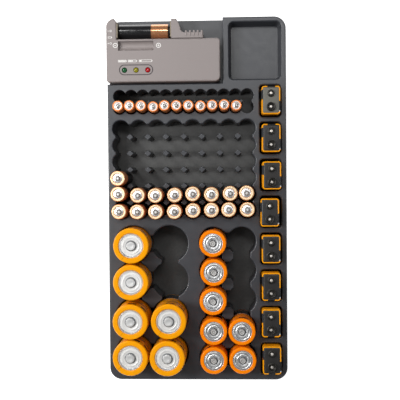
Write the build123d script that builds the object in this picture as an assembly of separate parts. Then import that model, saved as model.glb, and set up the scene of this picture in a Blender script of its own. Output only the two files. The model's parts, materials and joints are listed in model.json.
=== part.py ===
from build123d import *
import math
import os

# Battery storage tray with a clip-in battery tester, millimetres.
# +Z up, the tray lies flat, origin at the centre of its underside.
# +X is to the right and +Y to the tester end when looking down on it.

os.makedirs("parts", exist_ok=True)

# ------------------------------------------------------------------ tray
TRAY_W, TRAY_L, TRAY_H = 173.0, 351.0, 35.5
TRAY_CORNER_R = 11.5
WALL = 2.0
FLOOR_Z = 2.5                       # top of the pocket floors
RIM_R = 1.2                         # rounding of every pocket rim
BAY_WALL_X, BAY_WALL_Y = 25.7, 112.0
DECK_Z = 20.5                       # platform that the tester lies on
COIN_X, COIN_Y = (31.5, 81.7), (115.2, 170.8)
COIN_DEPTH = 14.0

# socket fields: first socket, pitches, columns and rows, socket radius, how far
# the cusps stand from the socket centres, rounding of the cusps, rim rounding
AAA = dict(x=-74.56, y=100.4, px=11.23, py=11.40, nx=12, ny=2, r=6.15, cx=4.2, cy=3.22, rx=0.7, ry=0.8, rim=0.55)
AA = dict(x=-73.65, y=68.96, px=17.46, py=15.94, nx=8, ny=6, r=8.20, cx=5.05, cy=4.05, rx=1.35, ry=1.35, rim=1.1)
D = dict(x=-62.43, y=-42.94, px=35.34, py=35.24, nx=2, ny=4, r=17.70, cx=8.05, cy=8.0, rx=1.6, ry=1.6, rim=1.1)
C = dict(x=15.39, y=-40.71, px=27.32, py=28.09, nx=2, ny=5, r=13.70, cx=8.1, cy=8.1, rx=2.4, ry=2.4, rim=1.1)
NINE = dict(x=71.1, y=94.4, py=35.63, n=8, w=20.7, l=31.0, r=3.4, draft=1.2)

# ------------------------------------------------------- cells (contents)
CELL_SIZE = {                       # radius, length, nub radius, nub height, shoulder
    "d": (16.7, 61.5, 4.4, 1.5, 1.0),
    "c": (12.9, 50.0, 3.1, 1.5, 0.9),
    "aa": (7.1, 50.5, 2.5, 1.2, 0.6),
    "aaa": (5.15, 44.5, 1.75, 0.9, 0.45),
}
NINE_W, NINE_L, NINE_H, NINE_BODY = 17.5, 26.5, 48.5, 45.9

# ---------------------------------------------------------------- tester
T_X = (-86.3, 23.3)                 # body, left and right
T_Y = (113.4, 154.6)                # body, lower and upper edge
T_Z = (20.8, 31.0, 41.5)            # back, parting line, face
T_WALL = 2.0
ARM_TIP_Y = 174.6
TEST_Z = 29.0                       # axis of the cell under test
TEST_Y = 163.3
ARM_TRAVEL = 13.0
LEDS = {"green": (-68.7, 124.8), "yellow": (-57.5, 124.8), "red": (-46.2, 124.8)}
LED_R, LED_TOP = 2.5, 42.6
SCREWS = [(-80.6, 119.0), (17.3, 119.0), (17.3, 145.0), (-80.9, 141.0)]
ARM_FACE_X = -76.2                  # inner face of the fixed arm
ARM_X, ARM_Z = (-23.6, 7.1), (23.2, 41.0)
TONGUE_X, TONGUE_Z = (-21.6, 5.6), (29.0, 33.0)
RIBS, RIB_PITCH = 5, 3.75
TROUGH = (148.05, -74.7, -40.5, 4.55)     # centre line, two ends, radius
LAMP_GROOVE = (-74.0, -41.0, 125.0, 5.1)
PCB_X, PCB_Y, PCB_Z = (-76.5, -20.0), (117.5, 138.5), 31.6
PCB_POSTS = [(-73.5, 131.0), (-24.0, 120.5), (-24.0, 135.5)]
SPRING_PEG = (-67.0, 149.8)
SPRING_X, SPRING_TURNS = (-65.5, -22.2), 24
NINE_PADS = [(161.4, 3.9), (148.7, 2.9)]
TEST_CELL_X = -75.2

# cells in the tray: column, row, and how far the top leans off the socket's axis
GAP = 0.25
POST_DROP = 0.7
POST_R = 1.3                        # rounding of the corners of the large posts
CELLS = {
    "d": [(0, 0, 1.1, 0.2), (0, 1, 0.55, 0.85), (0, 2, -0.3, -1.25), (0, 3, -0.6, -0.1), (1, 2, 0.55, -0.8), (1, 3, -1.1, -0.4)],
    "c": [(0, 0, -0.3, -1.1), (0, 1, 0.6, -0.7), (0, 2, -0.35, -0.3), (0, 3, 0.05, -0.9), (0, 4, 0.1, -0.5),
          (1, 3, -0.4, -0.95), (1, 4, 0.3, -0.3)],
    "aa": [(0, 3, -1.25, -0.4),
           (0, 4, -1.1, 0.65), (1, 4, 0.15, -0.8), (2, 4, -0.45, -1.0), (3, 4, 0.6, -0.75), (4, 4, 0.3, 0.3),
           (5, 4, 0.6, -0.35), (6, 4, 1.0, 0.5), (7, 4, -1.1, 0.95),
           (0, 5, -0.4, -0.25), (1, 5, -0.45, -0.55), (2, 5, -0.3, -0.7), (3, 5, 0.2, -0.55), (4, 5, 0.5, 0.5),
           (5, 5, 0.6, 0.8), (6, 5, -0.6, 1.15), (7, 5, -0.4, 1.1)],
    "aaa": [(0, 1, -0.35, 1.15), (1, 1, -0.8, 1.35), (2, 1, -0.75, 1.2), (3, 1, -0.2, 0.05), (4, 1, -0.65, 1.15), (5, 1, -0.5, 1.1),
            (6, 1, -0.25, 1.05), (7, 1, 0.2, 0.35), (8, 1, 0.15, 1.0), (9, 1, 0.4, 1.3), (10, 1, 0.65, 0.55)],
    "nine_volt": [(0.1, -0.6), (0.2, -0.8), (0.6, -0.7), (-1.8, -0.3), (-0.6, 0.5), (-0.6, 0.3), (-0.95, 1.3), (-0.35, 1.35)],
}


def slab(sketch, z0, z1):
    """A flat sketch made into a plate from z0 to z1."""
    return extrude(Pos(0, 0, z0) * sketch, amount=z1 - z0)


def box(x0, x1, y0, y1, z0, z1):
    return Pos((x0 + x1) / 2, (y0 + y1) / 2, (z0 + z1) / 2) * Box(x1 - x0, y1 - y0, z1 - z0)


def rod(x, y, z0, z1, r):
    return Pos(x, y, (z0 + z1) / 2) * Cylinder(r, z1 - z0)


def rounded(x0, x1, y0, y1, r):
    return Pos((x0 + x1) / 2, (y0 + y1) / 2) * RectangleRounded(x1 - x0, y1 - y0, r)


def tangents(g, along_x, r, rho):
    """Half-spacing s of the rounded cusp corners, and where they touch the arc."""
    core = g["cy"] if along_x else g["cx"]
    s = math.sqrt((r + rho) ** 2 - (core + rho) ** 2)
    k = r / (r + rho)
    return s, s * k, (core + rho) * k, core


def outline(g):
    """Outline of a field of round sockets that run into each other.

    The wall follows each outer socket, and between two sockets it comes
    forward in a blunt cusp with a flat tip and rounded corners.
    """
    r = g["r"]
    xs = [g["x"] + i * g["px"] for i in range(g["nx"])]
    ys = [g["y"] - j * g["py"] for j in range(g["ny"])]
    sides = [  # outward normal, direction of travel, the sockets in order
        ((0, 1), (1, 0), [(x, ys[0]) for x in xs], True),
        ((1, 0), (0, -1), [(xs[-1], y) for y in ys], False),
        ((0, -1), (-1, 0), [(x, ys[-1]) for x in reversed(xs)], True),
        ((-1, 0), (0, 1), [(xs[0], y) for y in reversed(ys)], False),
    ]
    steps = []
    for n, d, cs, along_x in sides:
        rho = g["rx"] if along_x else g["ry"]
        half = (g["px"] if along_x else g["py"]) / 2
        s, ta, tn, core = tangents(g, along_x, r, rho)

        def at(c, a, m):
            return (c[0] + a * d[0] + m * n[0], c[1] + a * d[1] + m * n[1])

        for k, c in enumerate(cs):
            if 0 < k < len(cs) - 1:
                steps.append(("arc", at(c, 0, r), at(c, ta, tn)))
            if k == len(cs) - 1:
                break
            if k == 0:
                steps.append(("corner", c, at(c, ta, tn)))
            nxt = cs[k + 1]
            q = core + rho
            if half - s > 0.02:
                ang = math.atan2(q, s)                     # arc centre to socket centre
                mid = 0.5 * (math.pi + ang + 1.5 * math.pi)
                m1 = at(c, s + rho * math.cos(mid), q + rho * math.sin(mid))
                steps.append(("arc", m1, at(c, s, core)))
                steps.append(("line", at(nxt, -s, core)))
                m2 = at(nxt, -s - rho * math.cos(mid), q + rho * math.sin(mid))
                steps.append(("arc", m2, at(nxt, -ta, tn)))
            else:
                steps.append(("arc", at(c, half, core), at(nxt, -ta, tn)))
    # the corner arcs go through the outer diagonal of the corner sockets
    diag = {0: (-1, 1), 1: (1, 1), 2: (1, -1), 3: (-1, -1)}
    edges, corner = [], 0
    end = None
    pts = [p[-1] for p in steps]
    prev = pts[-1]
    for st in steps:
        if st[0] == "corner":
            c = st[1]
            e = diag[corner]
            corner += 1
            mid = (c[0] + r * e[0] / math.sqrt(2), c[1] + r * e[1] / math.sqrt(2))
            edges.append(ThreePointArc(prev, mid, st[2]))
        elif st[0] == "arc":
            edges.append(ThreePointArc(prev, st[1], st[2]))
        else:
            edges.append(Line(prev, st[1]))
        prev = st[-1]
    return make_face(Curve() + edges)


def scalloped(g, grow):
    """The same field grown by a wall, for the hollow underside."""
    x0, x1 = g["x"], g["x"] + g["px"] * (g["nx"] - 1)
    y1, y0 = g["y"], g["y"] - g["py"] * (g["ny"] - 1)
    s = Pos((x0 + x1) / 2, (y0 + y1) / 2) * Rectangle(x1 - x0 + 2 * (g["cx"] + grow), y1 - y0 + 2 * (g["cy"] + grow))
    discs = []
    for i in range(g["nx"]):
        for j in range(g["ny"]):
            if i in (0, g["nx"] - 1) or j in (0, g["ny"] - 1):
                discs.append(Pos(g["x"] + i * g["px"], g["y"] - j * g["py"]) * Circle(g["r"] + grow))
    return Sketch() + [s] + discs


def junctions(g):
    return [
        (g["x"] + (i + 0.5) * g["px"], g["y"] - (j + 0.5) * g["py"])
        for j in range(g["ny"] - 1)
        for i in range(g["nx"] - 1)
    ]


def star_post(g, inset=0.0):
    """A four-pointed post with sides that follow the sockets round it."""
    r = g["r"] + inset
    rx, ry = (POST_R, POST_R) if inset == 0 else (0.5, 0.5)
    cx, cy = g["cx"] + inset, g["cy"] + inset
    hx, hy = g["px"] / 2, g["py"] / 2
    edges, pts = [], []
    # tip towards +X: its flat stands at hx - cx, corners rounded by ry
    sx = math.sqrt((r + ry) ** 2 - (cx + ry) ** 2)
    sy = math.sqrt((r + rx) ** 2 - (cy + rx) ** 2)
    kx, ky = r / (r + ry), r / (r + rx)

    def quarter(mx, my):
        """Corner points of one quadrant, from the +X tip round to the +Y tip."""
        flat_x = (hx - cx, hy - sx)
        arc_x = (hx - (cx + ry) * kx, hy - sx * kx)
        arc_y = (hx - sy * ky, hy - (cy + rx) * ky)
        flat_y = (hx - sy, hy - cy)
        c = (hx - cx - ry, hy - sx)
        a0 = math.atan2(arc_x[1] - c[1], arc_x[0] - c[0])
        m1 = (c[0] + ry * math.cos(a0 / 2), c[1] + ry * math.sin(a0 / 2))
        m2 = (hx - r / math.sqrt(2), hy - r / math.sqrt(2))
        c = (hx - sy, hy - cy - rx)
        a1 = math.atan2(arc_y[1] - c[1], arc_y[0] - c[0])
        am = (a1 + math.pi / 2) / 2
        m3 = (c[0] + rx * math.cos(am), c[1] + rx * math.sin(am))
        seq = [flat_x, m1, arc_x, m2, arc_y, m3, flat_y]
        return [(mx * x, my * y) for x, y in seq]

    runs = [quarter(1, 1), quarter(-1, 1)[::-1], quarter(-1, -1), quarter(1, -1)[::-1]]
    for k, q in enumerate(runs):
        edges += [ThreePointArc(q[0], q[1], q[2]), ThreePointArc(q[2], q[3], q[4]), ThreePointArc(q[4], q[5], q[6])]
        edges.append(Line(q[6], runs[(k + 1) % 4][0]))
    return make_face(Curve() + edges)


def diamond(w, h, r):
    s = make_face(Polyline((w, 0), (0, h), (-w, 0), (0, -h), close=True))
    return fillet(s.vertices(), r)


def tray_top():
    outer = RectangleRounded(TRAY_W, TRAY_L, TRAY_CORNER_R)
    fields = {k: outline(g) for k, g in (("aaa", AAA), ("aa", AA), ("d", D), ("c", C))}
    walls = {k: scalloped(g, WALL) for k, g in (("aaa", AAA), ("aa", AA), ("d", D), ("c", C))}

    body = slab(outer, 0, TRAY_H)
    # tester bay, open to the left and to the back
    bay = rounded(-120, BAY_WALL_X, BAY_WALL_Y, 220, 1.5)
    body -= slab(bay, DECK_Z, TRAY_H + 5)
    for k in fields:
        body -= slab(fields[k], FLOOR_Z, TRAY_H + 1)
    nine = rounded(-NINE["w"] / 2, NINE["w"] / 2, -NINE["l"] / 2, NINE["l"] / 2, NINE["r"])
    nine_cut = extrude(Pos(0, 0, TRAY_H) * nine, amount=-(TRAY_H - FLOOR_Z), taper=NINE["draft"])
    for i in range(NINE["n"]):
        body -= Pos(NINE["x"], NINE["y"] - i * NINE["py"], 0) * nine_cut
    coin = rounded(COIN_X[0], COIN_X[1], COIN_Y[0], COIN_Y[1], 4.8)
    body -= extrude(Pos(0, 0, TRAY_H) * coin, amount=-COIN_DEPTH, taper=9.5)

    # rounded rims
    def rim_edges(y0, y1, x0, x1):
        out = []
        for f in body.faces().filter_by(Plane.XY).filter_by(lambda f: abs(f.center().Z - TRAY_H) < 0.01):
            for e in f.edges():
                bb = e.bounding_box()
                if bb.min.X > x0 and bb.max.X < x1 and bb.min.Y > y0 and bb.max.Y < y1:
                    out.append(e)
        return out

    small = rim_edges(AAA["y"] - AAA["py"] - 8, AAA["y"] + 8, -82, 58)
    body = fillet(small, AAA["rim"])
    rest = [e for e in rim_edges(-400, 400, -400, 400)
            if not (e.bounding_box().min.Y > AAA["y"] - AAA["py"] - 9 and e.bounding_box().max.Y < AAA["y"] + 9
                    and e.bounding_box().min.X > -83 and e.bounding_box().max.X < 59)]
    body = fillet(rest, RIM_R)
    return body, walls


def hollow_under(body, walls):
    """The tray is a thin moulding, so its underside is open between the pockets."""
    inner = RectangleRounded(TRAY_W - 2 * WALL, TRAY_L - 2 * WALL, TRAY_CORNER_R - WALL)
    low = inner
    for k in walls:
        low -= walls[k]
    for i in range(NINE["n"]):
        y = NINE["y"] - i * NINE["py"]
        low -= rounded(NINE["x"] - NINE["w"] / 2 - WALL, NINE["x"] + NINE["w"] / 2 + WALL,
                       y - NINE["l"] / 2 - WALL, y + NINE["l"] / 2 + WALL, NINE["r"] + WALL)
    high = low - rounded(-120, BAY_WALL_X + WALL, BAY_WALL_Y - WALL, 220, 3)
    high -= rounded(COIN_X[0] - WALL, COIN_X[1] + WALL, COIN_Y[0] - WALL, COIN_Y[1] + WALL, 6)
    split = DECK_Z - WALL
    body -= slab(low, -1, split)
    body -= slab(high, split - 0.01, TRAY_H - WALL)
    return body


def add_posts(body):
    """The posts that stand where four sockets meet, a little below the rim."""
    top = TRAY_H - POST_DROP
    for g, shape, edge in ((AAA, diamond(1.75, 1.75, 0.4), 0.3), (AA, diamond(3.45, 3.15, 0.6), 0.5),
                           (D, star_post(D), 0.6), (C, star_post(C), 0.6)):
        p = slab(shape, 0, top)
        rim = [e for f in p.faces().filter_by(Plane.XY).filter_by(lambda f: f.center().Z > 10) for e in f.edges()]
        p = fillet(rim, edge)
        if g in (D, C):
            # the large posts are cored out from below
            core = star_post(g, 2.0)
            body -= [slab(Pos(x, y) * core, -1, top - WALL) for x, y in junctions(g)]
            p -= slab(core, -1, top - WALL)
        body = body + [Pos(x, y, 0) * p for x, y in junctions(g)]
    return body


def tray():
    body, walls = tray_top()
    return add_posts(hollow_under(body, walls))


# ------------------------------------------------------------------ tester
def chain(*steps):
    """Closed face from a start point and then points, or (mid, end) arcs."""
    start = prev = steps[0]
    edges = []
    for st in steps[1:]:
        if isinstance(st[0], tuple):
            edges.append(ThreePointArc(prev, st[0], st[1]))
            prev = st[1]
        else:
            edges.append(Line(prev, st))
            prev = st
    if math.dist(prev, start) > 1e-6:
        edges.append(Line(prev, start))
    return make_face(Curve() + edges)


def corner(cx, cy, r, a0, a1):
    """Quarter arc about (cx, cy) from angle a0 to a1, as a (mid, end) step."""
    m, e = math.radians((a0 + a1) / 2), math.radians(a1)
    return ((cx + r * math.cos(m), cy + r * math.sin(m)), (cx + r * math.cos(e), cy + r * math.sin(e)))


def tester_outline(i=0.0):
    """Body with the fixed arm at its left end, drawn in by i all round."""
    x0, x1, y0, y1 = T_X[0] + i, T_X[1] - i, T_Y[0] + i, T_Y[1] - i
    ax = ARM_FACE_X - i
    return chain(
        (x0 + 2.5, y0),
        (x1 - 5 + 0.4 * i, y0),
        corner(x1 - 5 + 0.4 * i, y0 + 5 - 0.4 * i, 5 - 0.4 * i, -90, 0),
        (x1, y1 - 3 + 0.4 * i),
        corner(x1 - 3 + 0.4 * i, y1 - 3 + 0.4 * i, 3 - 0.4 * i, 0, 90),
        (ax, y1),
        (ax, ARM_TIP_Y - 3.2 - 0.6 * i),
        (ax - 2.0 + 0.35 * i, ARM_TIP_Y - 0.7 - i),
        ((ax - 3.0 + 0.35 * i, ARM_TIP_Y - 0.05 - i), (ax - 4.2 + 0.35 * i, ARM_TIP_Y - 0.3 - i)),
        ((x0 + 1.75 + 0.1 * i, ARM_TIP_Y - 3.1 - 0.7 * i), (x0, ARM_TIP_Y - 10.1)),
        (x0, y0 + 2.5),
        corner(x0 + 2.5, y0 + 2.5, 2.5, 180, 270),
    )


def edges_at(solid, z, tol=0.01):
    faces = [f for f in solid.faces().filter_by(Plane.XY) if abs(f.center().Z - z) < tol]
    return [e for f in faces for e in f.edges()]


def tester_front_shell():
    z0, z1 = T_Z[1], T_Z[2]
    s = slab(tester_outline(), z0, z1)
    s = fillet(edges_at(s, z1), 1.4)
    s -= slab(tester_outline(T_WALL), z0 - 1, z1 - T_WALL)
    # trough for holding a loose cell, with its ends closed
    ty, tx0, tx1, tr = TROUGH
    tube = Pos((tx0 + tx1) / 2, ty, z1) * Rot(0, 90, 0) * Cylinder(tr + 1.6, tx1 - tx0 + 3.2)
    s += tube & box(tx0 - 3, tx1 + 3, ty - 9, ty + 9, z1 - 9, z1 - 1)
    s -= Pos((tx0 + tx1) / 2, ty, z1) * Rot(0, 90, 0) * Cylinder(tr, tx1 - tx0)
    # groove round the lamps and their holes
    gx0, gx1, gy, gr = LAMP_GROOVE
    ring = rounded(gx0, gx1, gy - gr, gy + gr, gr - 0.01) - rounded(gx0 + 0.9, gx1 - 0.9, gy - gr + 0.9, gy + gr - 0.9, gr - 0.91)
    s -= slab(ring, z1 - 0.7, z1 + 1)
    for x, y in LEDS.values():
        s -= rod(x, y, z0, z1 + 1, LED_R + 0.15)
    for x, y in SCREWS:
        s += rod(x, y, z0, z1 - 1.5, 3.0)
        s -= rod(x, y, z0 - 1, z0 + 6.5, 1.15)
    return openings_for_metal(s)


def tester_rear_shell():
    z0, z1 = T_Z[0], T_Z[1]
    s = slab(tester_outline(), z0, z1)
    s = chamfer(edges_at(s, z0), 0.8)
    s -= slab(tester_outline(T_WALL), z0 + T_WALL, z1 + 1)
    for x, y in SCREWS:
        s += rod(x, y, z0 + 1, z1, 3.2)
        s -= rod(x, y, z0 - 1, z1 + 1, 1.45)
        s -= rod(x, y, z0 - 1, z0 + 2.6, 2.75)
    for x, y in PCB_POSTS:
        s += rod(x, y, z0 + 1, PCB_Z, 2.2)
    s += rod(SPRING_PEG[0], SPRING_PEG[1], z0 + 1, 34.0, 1.2)
    return openings_for_metal(s)


def openings_for_metal(s):
    """Slot of the sliding arm, and the seats of the contacts, in either shell."""
    x0, x1 = TONGUE_X
    s -= box(x0 - 0.3, x1 + ARM_TRAVEL + 0.3, T_Y[1] - 3, T_Y[1] + 1, TONGUE_Z[0] - 0.2, TONGUE_Z[1] + 0.2)
    s -= box(ARM_FACE_X - 2.4, ARM_FACE_X + 0.1, 157.0, 159.2, 29.8, 32.2)
    for y, r in NINE_PADS:
        s -= Pos(T_X[0], y, T_Z[1]) * Rot(0, 90, 0) * Cylinder(r + 0.1, 1.2)
        s -= Pos(T_X[0], y, T_Z[1]) * Rot(0, 90, 0) * Cylinder(1.25, 8)
    return s


def tester_sliding_arm():
    z0, z1 = ARM_Z
    y0 = T_Y[1] + 0.35
    s = slab(chain(
        (ARM_X[0], y0), (ARM_X[1], y0), (ARM_X[1], 160.4), (-11.2, 160.4),
        ((-13.7, 161.9), (-14.9, 164.9)), ((-15.7, 168.0), (-16.9, 170.4)),
        (-18.4, 173.3), ((-18.75, 173.62), (-19.2, 173.7)),
        (ARM_X[0] + 0.6, 173.7), ((ARM_X[0] + 0.18, 173.52), (ARM_X[0], 173.1))), z0, z1)
    s = fillet(edges_at(s, z1), 0.8)
    for k in range(RIBS):
        x = -10.2 + k * RIB_PITCH
        rib = box(x, x + 2.0, 157.2, 162.1, z0, z1 + 0.55)
        rib = fillet(rib.edges().filter_by(Axis.Z).filter_by(lambda e: e.center().Y > 160)
                     + rib.edges().filter_by(Axis.Y).filter_by(lambda e: e.center().Z > 30), 0.7)
        s += rib
    # tongue through the slot, and the flange that keeps it in
    s += box(TONGUE_X[0], TONGUE_X[1], 152.0, y0 + 1, *TONGUE_Z)
    s += box(TONGUE_X[0], TONGUE_X[1], 149.4, 152.25, 27.0, 35.0)
    s -= box(TONGUE_X[0] - 1, TONGUE_X[0] + 2.0, 149.0, 150.6, 30.2, 31.8)      # notch for the spring's eye
    s -= box(ARM_X[0] - 0.1, ARM_X[0] + 2.3, 157.0, 159.2, 29.8, 32.2)          # seat of the contact's tab
    return s


def strip(x0, x1, y0, y1, z0, z1, tab):
    """Flat contact strip with rounded corners and a tab that holds it."""
    s = Pos((x0 + x1) / 2, (y0 + y1) / 2, (z0 + z1) / 2) * Box(x1 - x0, y1 - y0, z1 - z0)
    s = fillet(s.edges().filter_by(Axis.X), 1.2)
    return s + box(tab[0], tab[1], 157.1, 159.1, 29.9, 32.1)


def tester_fixed_contact():
    x = ARM_FACE_X
    s = strip(x, x + 0.9, 155.4, 170.3, 22.6, 40.6, (x - 2.2, x + 0.1))
    return s


def tester_slider_contact():
    x = ARM_X[0]
    s = strip(x - 0.9, x, 155.6, 171.6, 23.6, 40.6, (x - 0.1, x + 2.1))
    return s


def tester_spring():
    """Closing spring: it pulls the sliding arm towards the fixed arm."""
    x0, x1 = SPRING_X
    y, z = SPRING_PEG[1], 31.0
    h = Helix(pitch=(x1 - x0) / SPRING_TURNS, height=x1 - x0, radius=1.9)
    wire = Circle(0.3)
    coil = sweep(Plane(h @ 0, z_dir=h % 0) * wire, path=h)
    coil = Pos(x0, y, z) * Rot(0, 90, 0) * coil
    return coil


def tester_circuit_board():
    x0, x1, y0, y1 = PCB_X[0], PCB_X[1], PCB_Y[0], PCB_Y[1]
    s = box(x0, x1, y0, y1, PCB_Z, PCB_Z + 1.6)
    s = fillet(s.edges().filter_by(Axis.Z), 1.0)
    t = PCB_Z + 1.6
    s += box(-38.0, -32.0, 122.0, 127.0, t, t + 1.6)                 # comparator
    for k in range(4):
        s += Pos(-66 + 9 * k, 134.0, t + 1.2) * Rot(0, 90, 0) * Cylinder(1.1, 5.5)   # resistors
        for d in (-3.6, 3.6):
            s += rod(-66 + 9 * k + d, 134.0, t, t + 1.5, 0.35)
            s += Pos(-66 + 9 * k + d * 0.88, 134.0, t + 1.2) * Rot(0, 90, 0) * Cylinder(0.35, 1.4)
    return s


def led(x, y):
    t = PCB_Z + 1.6
    s = rod(x, y, t, t + 1.0, LED_R + 0.4) + rod(x, y, t, LED_TOP - LED_R, LED_R)
    s += Pos(x, y, LED_TOP - LED_R) * Sphere(LED_R)
    return s


def tester_nine_volt_pads():
    out = []
    for y, r in NINE_PADS:
        pad = Pos(T_X[0] + 0.3, y, T_Z[1]) * Rot(0, 90, 0) * Cylinder(r, 0.6)
        stem = Pos(T_X[0] + 1.6, y, T_Z[1]) * Rot(0, 90, 0) * Cylinder(1.2, 3.2)
        out.append(pad + stem)
    return Compound(children=out)


def tester_screws():
    out = []
    z0 = T_Z[0]
    for x, y in SCREWS:
        s = rod(x, y, z0 + 0.9, z0 + 2.6, 2.5) + rod(x, y, z0 + 2.0, z0 + 16.0, 1.1)
        s -= box(x - 1.5, x + 1.5, y - 0.25, y + 0.25, z0 + 0.5, z0 + 1.7)
        s -= box(x - 0.25, x + 0.25, y - 1.5, y + 1.5, z0 + 0.5, z0 + 1.7)
        out.append(s)
    return Compound(children=out)


# ------------------------------------------------------------------- cells
def round_cell(kind):
    """A round cell standing on its flat end, contact button up."""
    r, h, br, bh, sh = CELL_SIZE[kind]
    top = h - bh                                   # highest point of the rolled edge
    cup = r * 0.74                                 # inner edge of the sleeve's turned-in lip
    prof = make_face(Polyline(
        (0, 0.25), (r * 0.55, 0.25), (r * 0.62, 0.0), (r - 0.6, 0.0), (r, 0.6),
        (r, top - sh), (r - 0.35 * sh, top - 0.35 * sh), (r - sh, top), (cup, top - 0.1),
        (cup - 0.1, top - 0.7), (br + 1.0, top - 0.55), (br + 0.1, top - 0.4), (br, h - 0.35), (br - 0.35, h), (0, h), close=True))
    return revolve(Plane.XZ * prof, Axis.Z)


def nine_volt_cell():
    w, l, h = NINE_W, NINE_L, NINE_BODY
    s = slab(rounded(-w / 2, w / 2, -l / 2, l / 2, 2.2), 0, h)
    s = fillet(edges_at(s, h) + edges_at(s, 0), 0.7)
    small = rod(0, 6.35, h - 0.5, NINE_H, 2.85)
    large = rod(0, -6.35, h - 0.5, NINE_H - 0.1, 4.1) - rod(0, -6.35, h + 0.5, NINE_H + 1, 3.0)
    return s + small + large


def leaned(solid, x, y, z, dx, dy, h, r, half=None):
    """Stands a cell in its socket, its top (dx, dy) off the socket's axis."""
    bx, by = -0.15 * dx, -0.15 * dy
    ax, ay = -math.degrees(math.asin((dy - by) / h)), math.degrees(math.asin((dx - bx) / h))
    if half:
        lift = (half[0] * abs(dx - bx) + half[1] * abs(dy - by)) / h + GAP
    else:
        lift = r * math.hypot(dx - bx, dy - by) / h + GAP
    return Location((x + bx, y + by, z + lift), (ax, ay, 0)) * solid


def spot(g, col, row):
    return g["x"] + col * g["px"], g["y"] - row * g["py"]


NODES = {}


def build():
    NODES["tray"] = tray()
    NODES["tester_front_shell"] = tester_front_shell()
    NODES["tester_rear_shell"] = tester_rear_shell()
    NODES["tester_sliding_arm"] = tester_sliding_arm()
    NODES["tester_slider_contact"] = tester_slider_contact()
    NODES["tester_fixed_contact"] = tester_fixed_contact()
    NODES["tester_spring"] = tester_spring()
    NODES["tester_circuit_board"] = tester_circuit_board()
    for name, (x, y) in LEDS.items():
        NODES["tester_lamp_" + name] = led(x, y)
    NODES["tester_nine_volt_pads"] = tester_nine_volt_pads()
    NODES["tester_screws"] = tester_screws()

    # the cell that the tester is holding, contact button towards the sliding arm
    aa = round_cell("aa")
    NODES["cell_aa_test"] = Pos(TEST_CELL_X, TEST_Y, TEST_Z) * Rot(0, 90, 0) * aa

    shapes = {k: round_cell(k) for k in CELL_SIZE}
    aaa = []
    for kind, g in (("d", D), ("c", C), ("aa", AA), ("aaa", AAA)):
        r, h = CELL_SIZE[kind][:2]
        for n, (col, row, dx, dy) in enumerate(CELLS[kind], 1):
            x, y = spot(g, col, row)
            c = leaned(shapes[kind], x, y, FLOOR_Z, dx, dy, h, r)
            if kind == "aaa":
                aaa.append(c)
            else:
                NODES["cell_%s_%02d" % (kind, n)] = c
    NODES["cells_aaa"] = Compound(children=aaa)
    nine = nine_volt_cell()
    for n, (dx, dy) in enumerate(CELLS["nine_volt"]):
        x, y = NINE["x"], NINE["y"] - n * NINE["py"]
        NODES["cell_nine_volt_%d" % (n + 1)] = leaned(nine, x, y, FLOOR_Z, dx, dy, NINE_H, 0, (NINE_W / 2, NINE_L / 2))


build()
for name, shape in NODES.items():
    export_step(shape, "parts/%s.step" % name)
    bb = shape.bounding_box()
    print("%-24s %9.1f mm3  x %.1f..%.1f  y %.1f..%.1f  z %.1f..%.1f" % (
        name, shape.volume, bb.min.X, bb.max.X, bb.min.Y, bb.max.Y, bb.min.Z, bb.max.Z))
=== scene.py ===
import bpy
import bmesh
import json
import math
from mathutils import Matrix, Vector


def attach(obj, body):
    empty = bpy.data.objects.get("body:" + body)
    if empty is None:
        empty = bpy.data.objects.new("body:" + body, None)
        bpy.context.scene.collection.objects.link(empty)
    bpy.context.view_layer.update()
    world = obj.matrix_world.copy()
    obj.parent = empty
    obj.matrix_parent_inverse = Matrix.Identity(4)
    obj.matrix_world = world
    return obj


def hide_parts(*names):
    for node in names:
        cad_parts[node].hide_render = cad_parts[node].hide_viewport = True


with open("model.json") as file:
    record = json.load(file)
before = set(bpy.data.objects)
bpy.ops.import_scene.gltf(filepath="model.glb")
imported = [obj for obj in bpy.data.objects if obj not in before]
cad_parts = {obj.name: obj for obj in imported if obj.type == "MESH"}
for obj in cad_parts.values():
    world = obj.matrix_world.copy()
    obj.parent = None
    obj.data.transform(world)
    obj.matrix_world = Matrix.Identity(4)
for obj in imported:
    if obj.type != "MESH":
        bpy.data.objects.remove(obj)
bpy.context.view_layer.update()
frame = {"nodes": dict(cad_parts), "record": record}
NODES = frame["nodes"]
MM = 0.001
TAU = 2 * math.pi

# ------------------------------------------------------------------ camera
cam_data = bpy.data.cameras.new("camera")
cam = bpy.data.objects.new("camera", cam_data)
bpy.context.scene.collection.objects.link(cam)
cam_data.sensor_width = 36.0
cam_data.lens = 69.20
cam_data.clip_start, cam_data.clip_end = 0.01, 20.0
turn = Matrix.Rotation(0.00695, 3, "Z") @ Matrix.Rotation(-0.04054, 3, "Y") @ Matrix.Rotation(0.02078, 3, "X")
cam.matrix_world = Matrix.Translation((0.032934, 0.014828, 0.7795)) @ turn.transposed().to_4x4()
bpy.context.scene.camera = cam
bpy.context.scene.view_settings.view_transform = "Standard"
bpy.context.scene.view_settings.look = "None"


# --------------------------------------------------------------- materials
def lin(r, g, b):
    """Display colour 0-255 to linear."""
    def f(c):
        c /= 255.0
        return c / 12.92 if c <= 0.04045 else ((c + 0.055) / 1.055) ** 2.4
    return (f(r), f(g), f(b))


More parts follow.
